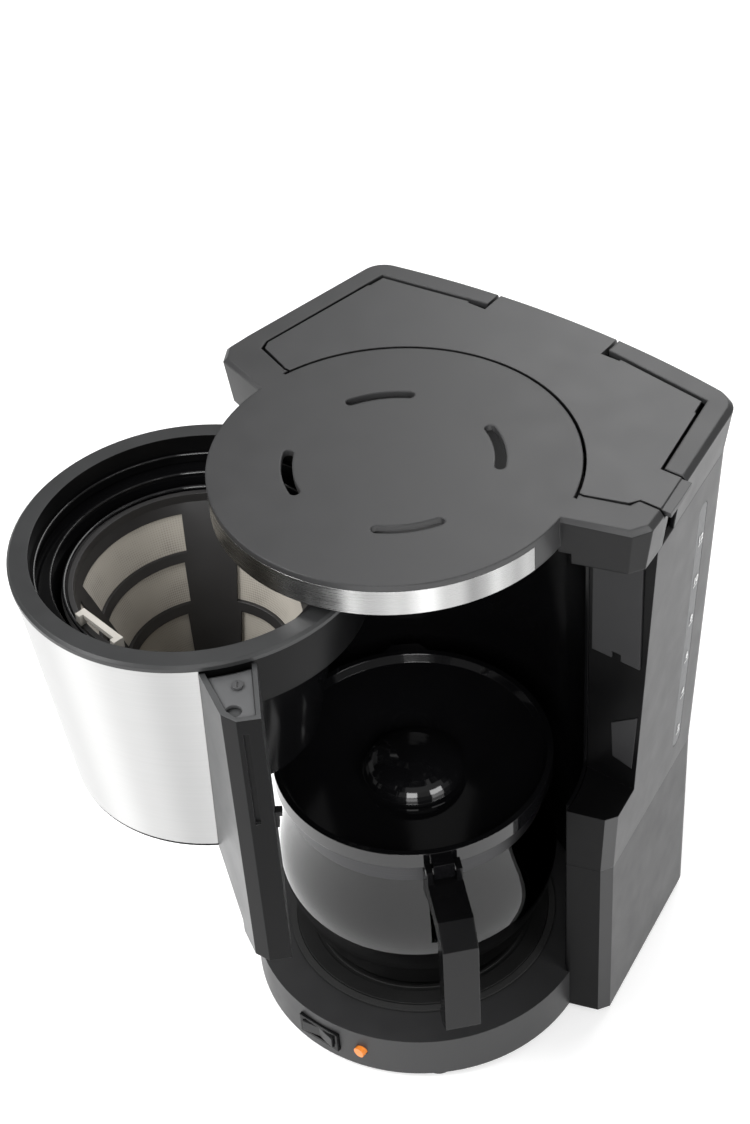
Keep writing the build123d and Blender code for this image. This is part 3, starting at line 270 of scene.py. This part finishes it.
def band_metal(name):
    """Brushed trim band, with soft light and dark stretches round it, painted reflection in its colour."""
    tree = Tree(name)
    tree.set(Metallic=1.0, Anisotropic=0.6)
    # painted reflection: light and dark stretches round the band, in its colour
    stretch = tree.noise(tree.round_axis(0, 0), 3.2, 1.5, 0.5)
    tone = tree.tint(stretch, (0.10, 0.10, 0.10), (0.66, 0.66, 0.655))
    lines = tree.noise(tree.place((8, 8, 2200)), 1.0, 3.0)
    tree.join(tone, tree.shader.inputs["Base Color"])
    tree.join(tree.spread(lines, 0.2, 0.34), tree.shader.inputs["Roughness"])
    tree.join(tree.bump(lines, 0.1, 0.00005, tree.soft_edge(0.0004)), tree.shader.inputs["Normal"])
    return tree.material


def glass(name):
    """Smoked glass with a faint ripple in its gloss."""
    tree = Tree(name)
    tree.set(Base_Color=(0.05, 0.052, 0.052, 1), Transmission_Weight=1.0, IOR=1.47)
    ripple = tree.noise(tree.place(), 9, 1.0)
    tree.join(tree.spread(ripple, 0.0, 0.02), tree.shader.inputs["Roughness"])
    return tree.material


def frosted(name, colour):
    """Milky plastic that lets a little light through."""
    tree = Tree(name)
    tree.set(Transmission_Weight=0.25, IOR=1.45)
    grain = tree.noise(tree.place(), 500, 3.0)
    dark = [c * 0.9 for c in colour]
    tree.join(tree.tint(grain, dark, colour), tree.shader.inputs["Base Color"])
    tree.join(tree.spread(grain, 0.45, 0.6), tree.shader.inputs["Roughness"])
    tree.join(tree.bump(grain, 0.2, 0.00005), tree.shader.inputs["Normal"])
    return tree.material


def woven(name, light, dark):
    """Nylon gauze on the filter's cone: threads round it and up it."""
    tree = Tree(name)
    tree.set(Specular_IOR_Level=0.3, Sheen_Weight=0.25)
    angle, height = tree.angle_and_height(*DOOR_AXIS)
    waves = []
    for source, count in ((angle, THREADS), (height, THREADS / THREAD_RADIUS)):
        scaled = tree.add("ShaderNodeMath", operation="MULTIPLY")
        scaled.inputs[1].default_value = count
        tree.join(source, scaled.inputs[0])
        wave = tree.add("ShaderNodeMath", operation="SINE")
        tree.join(scaled.outputs[0], wave.inputs[0])
        waves.append(wave.outputs[0])
    weave = tree.add("ShaderNodeMath", operation="ADD")
    tree.join(waves[0], weave.inputs[0])
    tree.join(waves[1], weave.inputs[1])
    level = tree.add("ShaderNodeMapRange")
    level.inputs["From Min"].default_value = -2
    level.inputs["From Max"].default_value = 2
    tree.join(weave.outputs[0], level.inputs["Value"])
    stain = tree.noise(tree.place(), 45, 4.0)
    mix = tree.add("ShaderNodeMath", operation="MULTIPLY_ADD")
    mix.inputs[1].default_value = 0.45
    tree.join(level.outputs["Result"], mix.inputs[0])
    tree.join(stain, mix.inputs[2])
    tree.join(tree.tint(mix.outputs[0], dark, light), tree.shader.inputs["Base Color"])
    tree.join(tree.spread(stain, 0.6, 0.8), tree.shader.inputs["Roughness"])
    tree.join(tree.bump(level.outputs["Result"], 0.4, 0.0001), tree.shader.inputs["Normal"])
    return tree.material


# ---------------------------------------------------------------- materials
def make_plastics():
    """Each plastic and rubber: colour, roughness and grain, with its gloss, edges and the reach of the
    shade painted into its gaps.
    """
    # the last entry of a recipe may give how far shade is painted into its narrow gaps
    housing = {"edge": WIDE_EDGE, "specular": 0.4, "gap_shade": GAP_SHADE_REACH}
    recipes = {
        "anthracite": ((0.030, 0.030, 0.0308), 0.40, FINE_GRAIN, housing),
        "anthracite_lid": ((0.034, 0.034, 0.035), 0.38, FINE_GRAIN, {"specular": 0.42, "gap_shade": GAP_SHADE_REACH}),
        "anthracite_low": ((0.024, 0.024, 0.0247), 0.42, FINE_GRAIN, {"specular": 0.36, "gap_shade": GAP_SHADE_REACH}),
        # a darker copy of the head's anthracite, painted shade on its front faces
        "head_front": ((0.006, 0.006, 0.0063), 0.30, FINE_GRAIN, {"edge": WIDE_EDGE, "specular": 0.16}),
        "wing_grey": ((0.042, 0.043, 0.044), 0.36, FINE_GRAIN, {"gap_shade": NARROW_GAP_SHADE_REACH}),
        "wing_top": ((0.075, 0.076, 0.078), 0.4, FINE_GRAIN, {"gap_shade": NARROW_GAP_SHADE_REACH}),
        "ring_grey": ((0.023, 0.0235, 0.024), 0.38, FINE_GRAIN, {"specular": 0.4}),
        # near black standing in for shade: front faces, the holder's cup, deep in its ring, the wing's end
        "painted_shade_black": ((0.003, 0.003, 0.0032), 0.3, 0.0, {"specular": 0.09}),
        "panel_grey": ((0.022, 0.022, 0.023), 0.45, FINE_GRAIN, {"specular": 0.25}),
        "dark_screw": ((0.05, 0.05, 0.052), 0.35, FAINT_GRAIN, {}),
        "black_plastic": ((0.012, 0.012, 0.0125), 0.42, FINE_GRAIN, {"specular": 0.3}),
        "black_gloss": ((0.003, 0.003, 0.0033), 0.14, 0.0, {"edge": SOFT_EDGE, "specular": 0.12}),
        "jug_black": ((0.004, 0.004, 0.0045), 0.06, 0.0, {"edge": SOFT_EDGE, "specular": 0.6}),
        "handle_black": ((0.004, 0.004, 0.0043), 0.16, 0.0, {"edge": 0.0008, "specular": 0.16}),
        "black_rubber": ((0.014, 0.014, 0.014), 0.75, COARSE_GRAIN, {}),
        "plate_coating": ((0.010, 0.010, 0.010), 0.45, COARSE_GRAIN, {"specular": 0.3}),
        "silicone": ((0.55, 0.54, 0.50), 0.5, FAINT_GRAIN, {"specular": 0.4}),
        "white_sleeve": ((0.7, 0.69, 0.65), 0.7, 0.00004, {}),
        "amber": ((0.75, 0.22, 0.03), 0.15, 0.0, {}),
        "nylon_light": ((0.45, 0.43, 0.39), 0.45, FINE_GRAIN, {}),
        "nylon_dark": ((0.022, 0.021, 0.021), 0.4, FINE_GRAIN, {}),
        "print": ((0.8, 0.8, 0.8), 0.5, 0.0, {"edge": 0}),
    }
    return {
        name: plastic(name, colour, roughness, grain, **more)
        for name, (colour, roughness, grain, more) in recipes.items()
    }


def make_materials():
    """Every finish by name. Brushed pieces are scratched level, round them, or up and down."""
    level = (6, 6, 1400)
    upright = (700, 700, 8)
    return {
        **make_plastics(),
        "brushed_cone": cone_metal("brushed_cone"),
        "brushed_band": band_metal("brushed_band"),
        "band_dark": brushed("band_dark", (0.055, 0.055, 0.057), 0.35, level),
        "steel": brushed("steel", (0.50, 0.50, 0.50), 0.32, upright),
        "aluminium": brushed("aluminium", (0.70, 0.70, 0.71), 0.4, upright),
        "glass": glass("glass"),
        "window": frosted("window", (0.20, 0.203, 0.207)),
        "tank": frosted("tank", (0.22, 0.22, 0.22)),
        "mesh": woven("mesh", (0.42, 0.39, 0.34), (0.20, 0.185, 0.16)),
    }


FINISH = {
    "head_cover": "anthracite",
    "tank_lid": "anthracite_lid",
    "upper_housing": "anthracite",
    "lower_housing": "anthracite_low",
    "wing_right": "wing_grey",
    "wing_left": "wing_grey",
    "wing_cover_right": "wing_top",
    "wing_cover_left": "wing_top",
    "door_ring": "ring_grey",
    "door_cup": "painted_shade_black",
    # the cup's inside is painted shade black
    "door_steel": "brushed_cone",
    "trim_band": "brushed_band",
    "bay_liner": "black_gloss",
    "filter_basket": "black_gloss",
    "filter_frame": "nylon_dark",
    "filter_mesh": "mesh",
    "filter_handle": "nylon_light",
    "jug_glass": "glass",
    "jug_lid": "jug_black",
    "jug_handle": "handle_black",
    "jug_band": "band_dark",
    "level_window": "window",
    "water_tank": "tank",
    "spray_head": "black_plastic",
    "latch_plate": "panel_grey",
    "wing_screw_right": "dark_screw",
    "wing_screw_left": "dark_screw",
    "latch_tongue": "black_plastic",
}
BY_SLOT = {
    "black_plastic": "black_plastic",
    "black_rubber": "black_rubber",
    "steel": "steel",
    "anthracite": "anthracite",
    "plate_coating": "plate_coating",
    "aluminium": "aluminium",
    "white_sleeve": "white_sleeve",
    "black_gloss": "black_gloss",
    "amber_lens": "amber",
    "tank_plastic": "tank",
    "frosted_window": "window",
    "silicone": "silicone",
    "brushed_steel": "steel",
    "nylon_mesh": "mesh",
    "nylon_handle": "nylon_light",
    "glass": "glass",
}


def paint_frame(nodes, materials):
    """Every CAD node gets its finish, by its own name or by the slot it was packed with."""
    for name, piece in nodes.items():
        packed = piece.data.materials[0].name.split(".")[0] if piece.data.materials else ""
        finish = FINISH.get(name) or BY_SLOT.get(packed, "black_plastic")
        if not piece.material_slots:
            piece.data.materials.append(None)
        for slot in piece.material_slots:
            slot.material = materials[finish]


def repaint(piece, material, wanted):
    """Gives one finish to those faces of a CAD node that pass the test on centre and normal."""
    piece.data.materials.append(material)
    index = len(piece.data.materials) - 1
    for face in piece.data.polygons:
        if wanted(face.center, face.normal):
            face.material_index = index


def from_door_axis(point):
    """How far a point lies from the holder's upright axis."""
    return math.hypot(point.x - DOOR_AXIS[0], point.y - DOOR_AXIS[1])


def paint_parts(nodes, materials):
    """Pieces with more than one finish: a glossier near black, painted shade, on front faces, deep in the
    holder's ring and on the wing's end; a darker copy of the head's plastic, painted shade, on its front
    faces. glossy where they face the jug bay, satin outside.
    """
    shade_paint = materials["painted_shade_black"]
    # painted shade: front faces below the head and upward faces below the ledge go near black
    repaint(nodes["upper_housing"], shade_paint,
            lambda c, n: n.y < -0.8 and c.z < HOUSING_FRONT_TOP or n.z > 0.5 and c.z < LEDGE_TOP)
    # painted shade: the lower front faces beside the jug bay go near black
    repaint(nodes["lower_housing"], shade_paint, lambda c, n: n.y < -0.8 and abs(c.x) > BAY_HALF)
    # painted shade: the head's front faces get the darker copy of its plastic
    repaint(nodes["head_cover"], materials["head_front"],
            lambda c, n: n.y < -0.3 and n.z < 0.3 and c.z < HEAD_EDGE_Z)
    inside = RING_BORE + RING_SHADE_OVERLAP
    # painted shade: the ring's bore and its deep part go near black
    repaint(nodes["door_ring"], shade_paint,
            lambda c, n: from_door_axis(c) < inside and n.z < 0.7 or c.z < RING_TOP - RING_SHADE_DEPTH)
    # painted shade: the right wing's end faces go near black
    repaint(nodes["wing_right"], shade_paint, lambda c, n: n.dot(WING_SHADED_END) > 0.75)


# ---------------------------------------------------------------- cup marks
def side_x(y, z):
    """The right side wall's outer face."""
    return SIDE_TOP_X - SIDE_LEAN * (SIDE_TOP_Z - z) - SIDE_SPLAY * (y - SIDE_FRONT_Y)


def side_frame(y, z, proud):
    """A frame on the side wall: x runs back along the wall, y up it, z out of it."""
    here = Vector((side_x(y, z), y, z))
    back = Vector((-SIDE_SPLAY, 1, 0)).normalized()
    up = Vector((SIDE_LEAN, 0, 1)).normalized()
    out = back.cross(up).normalized()
    up = out.cross(back)
    turn = Matrix((back, up, out)).transposed().to_4x4()
    return Matrix.Translation(here + out * proud) @ turn


def cup_mark(text, z, material):
    """The number of one level mark, printed on the window."""
    curve = bpy.data.curves.new("number_" + text, "FONT")
    curve.body = text
    curve.size = NUMBER_SIZE
    curve.extrude = NUMBER_DEPTH
    curve.align_x = "CENTER"
    curve.offset = NUMBER_WEIGHT
    curve.materials.append(material)
    number = bpy.data.objects.new("number_" + text, curve)
    bpy.context.scene.collection.objects.link(number)
    number.matrix_world = side_frame(MARK_Y, z * MM, MARK_PROUD)
    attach(number, "machine")


def bar(name, corners, thickness, material):
    """A thin flat piece with the given corners. Its thickness lies behind them."""
    mesh = bpy.data.meshes.new(name)
    count = len(corners)
    out = (corners[1] - corners[0]).cross(corners[2] - corners[1]).normalized()
    points = list(corners) + [c - out * thickness for c in corners]
    faces = [tuple(range(count)), tuple(reversed(range(count, 2 * count)))]
    for i in range(count):
        j = (i + 1) % count
        faces.append((j, i, i + count, j + count))
    mesh.from_pydata(points, [], faces)
    mesh.materials.append(material)
    piece = bpy.data.objects.new(name, mesh)
    bpy.context.scene.collection.objects.link(piece)
    return piece


def cup_line(text, z, material):
    """The short line under a level mark's number."""
    place = side_frame(MARK_Y, z * MM, MARK_PROUD)
    high = LINE_LOW + LINE_WIDTH
    square = ((-LINE_HALF, LINE_LOW), (LINE_HALF, LINE_LOW), (LINE_HALF, high), (-LINE_HALF, high))
    corners = [place @ Vector((x, y, 0)) for x, y in square]
    piece = bar("line_" + text, corners, LINE_DEPTH, material)
    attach(piece, "machine")


# ---------------------------------------------------------------- lips in the holder, and the pad
def turned_ring(name, profile, centre, material):
    """A closed profile of (radius, height) pairs turned about an upright axis."""
    count = len(profile)
    points = []
    for i in range(LIP_STEPS):
        angle = 2 * math.pi * i / LIP_STEPS
        for radius, z in profile:
            points.append((centre[0] + radius * math.cos(angle), centre[1] + radius * math.sin(angle), z))
    faces = []
    for i in range(LIP_STEPS):
        j = (i + 1) % LIP_STEPS
        for k in range(count):
            m = (k + 1) % count
            faces.append((i * count + k, j * count + k, j * count + m, i * count + m))
    mesh = bpy.data.meshes.new(name)
    mesh.from_pydata(points, [], faces)
    mesh.materials.append(material)
    for face in mesh.polygons:
        face.use_smooth = True
    piece = bpy.data.objects.new(name, mesh)
    bpy.context.scene.collection.objects.link(piece)
    return piece


def round_profile(radius, z, thick):
    """A small circle, for a rounded lip."""
    turns = [2 * math.pi * i / LIP_SIDES for i in range(LIP_SIDES)]
    return [(radius + thick * math.cos(t), z + thick * math.sin(t)) for t in turns]


def recess_pad(material):
    """The small lit pad low on the front of the right column."""
    corners = [Vector((x * MM, RECESS_Y, z * MM)) for x, z in RECESS_PAD]
    piece = bar("recess_pad", corners, RECESS_DEPTH, material)
    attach(piece, "machine")


def make_lips(material):
    """Rounded lips of the basket and the filter, one inside the other."""
    for number, (radius, z, thick) in enumerate(HOLDER_LIPS):
        profile = round_profile(radius * MM, z * MM, thick * MM)
        piece = turned_ring(f"holder_lip_{number}", profile, DOOR_AXIS, material)
        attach(piece, "filter_door")


# ---------------------------------------------------------------- stage
def make_camera():
    """The camera on its own place, turned by its azimuth, elevation and roll."""
    azimuth = math.radians(CAMERA_AZIMUTH)
    elevation = math.radians(CAMERA_ELEVATION)
    roll = math.radians(CAMERA_ROLL)
    level = math.cos(elevation)
    back = Vector((math.sin(azimuth) * level, -math.cos(azimuth) * level, math.sin(elevation)))
    right = Vector((math.cos(azimuth), math.sin(azimuth), 0))
    up = back.cross(right)
    across = right * math.cos(roll) + up * math.sin(roll)
    upward = back.cross(across)
    data = bpy.data.cameras.new("camera")
    data.lens = CAMERA_LENS
    data.sensor_width = SENSOR
    data.clip_start = CLIP_NEAR
    data.clip_end = CLIP_FAR
    camera = bpy.data.objects.new("camera", data)
    bpy.context.scene.collection.objects.link(camera)
    turn = Matrix((across, upward, back)).transposed().to_4x4()
    camera.matrix_world = Matrix.Translation(CAMERA_PLACE) @ turn
    bpy.context.scene.camera = camera


def area_light(name, place, target, width, power, height):
    """A soft light at a place, turned to its target."""
    data = bpy.data.lights.new(name, "AREA")
    data.energy = power
    data.size = width
    if height:
        data.shape = "RECTANGLE"
        data.size_y = height
    light = bpy.data.objects.new(name, data)
    bpy.context.scene.collection.objects.link(light)
    light.location = place
    aim = Vector(target) - Vector(place)
    light.rotation_mode = "QUATERNION"
    light.rotation_quaternion = aim.to_track_quat("-Z", "Y")


def make_world():
    """White to the camera, and a softer room for the light and the reflections."""
    world = bpy.data.worlds.new("studio")
    bpy.context.scene.world = world
    world.use_nodes = True
    nodes = world.node_tree.nodes
    links = world.node_tree.links
    nodes.clear()
    coordinates = nodes.new("ShaderNodeTexCoord")
    parts = nodes.new("ShaderNodeSeparateXYZ")
    ramp = nodes.new("ShaderNodeValToRGB")
    path = nodes.new("ShaderNodeLightPath")
    room = nodes.new("ShaderNodeBackground")
    white = nodes.new("ShaderNodeBackground")
    mix = nodes.new("ShaderNodeMixShader")
    output = nodes.new("ShaderNodeOutputWorld")
    links.new(coordinates.outputs["Generated"], parts.inputs["Vector"])
    links.new(parts.outputs["Z"], ramp.inputs["Fac"])
    ramp.color_ramp.elements[0].position = 0.0
    ramp.color_ramp.elements[0].color = (0.25, 0.25, 0.25, 1)
    ramp.color_ramp.elements[1].position = 0.9
    ramp.color_ramp.elements[1].color = (0.75, 0.75, 0.75, 1)
    links.new(ramp.outputs["Color"], room.inputs["Color"])
    room.inputs["Strength"].default_value = 0.55
    white.inputs["Color"].default_value = (1, 1, 1, 1)
    white.inputs["Strength"].default_value = 1.0
    links.new(path.outputs["Is Camera Ray"], mix.inputs["Fac"])
    links.new(room.outputs["Background"], mix.inputs[1])
    links.new(white.outputs["Background"], mix.inputs[2])
    links.new(mix.outputs["Shader"], output.inputs["Surface"])


def make_floor():
    """A pale floor, wide enough for every view."""
    mesh = bpy.data.meshes.new("floor")
    turns = ((-1, -1), (1, -1), (1, 1), (-1, 1))
    corners = [(x * FLOOR_HALF, y * FLOOR_HALF, 0) for x, y in turns]
    mesh.from_pydata(corners, [], [(0, 1, 2, 3)])
    floor = bpy.data.objects.new("floor", mesh)
    bpy.context.scene.collection.objects.link(floor)
    tree = Tree("floor")
    tree.set(Base_Color=(0.8, 0.8, 0.8, 1), Roughness=0.9, Emission_Color=(1, 1, 1, 1))
    tree.set(Emission_Strength=0.35)
    mesh.materials.append(tree.material)


def make_lights():
    for light in LIGHTS:
        area_light(*light)


# ---------------------------------------------------------------- the scene
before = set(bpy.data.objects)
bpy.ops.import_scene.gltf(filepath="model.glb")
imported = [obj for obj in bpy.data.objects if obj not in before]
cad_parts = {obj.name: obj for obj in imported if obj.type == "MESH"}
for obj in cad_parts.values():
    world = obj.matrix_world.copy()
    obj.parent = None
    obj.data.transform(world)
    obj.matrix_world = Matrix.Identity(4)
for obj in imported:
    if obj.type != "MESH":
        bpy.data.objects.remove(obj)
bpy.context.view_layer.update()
bpy.context.scene.view_settings.view_transform = "Standard"
materials = make_materials()
paint_frame(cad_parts, materials)
paint_parts(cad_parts, materials)
for text, z in MARK_LEVELS:
    cup_mark(text, z, materials["print"])
    cup_line(text, z, materials["print"])
make_lips(materials["jug_black"])
recess_pad(materials["panel_grey"])
make_camera()
make_world()
make_floor()
make_lights()
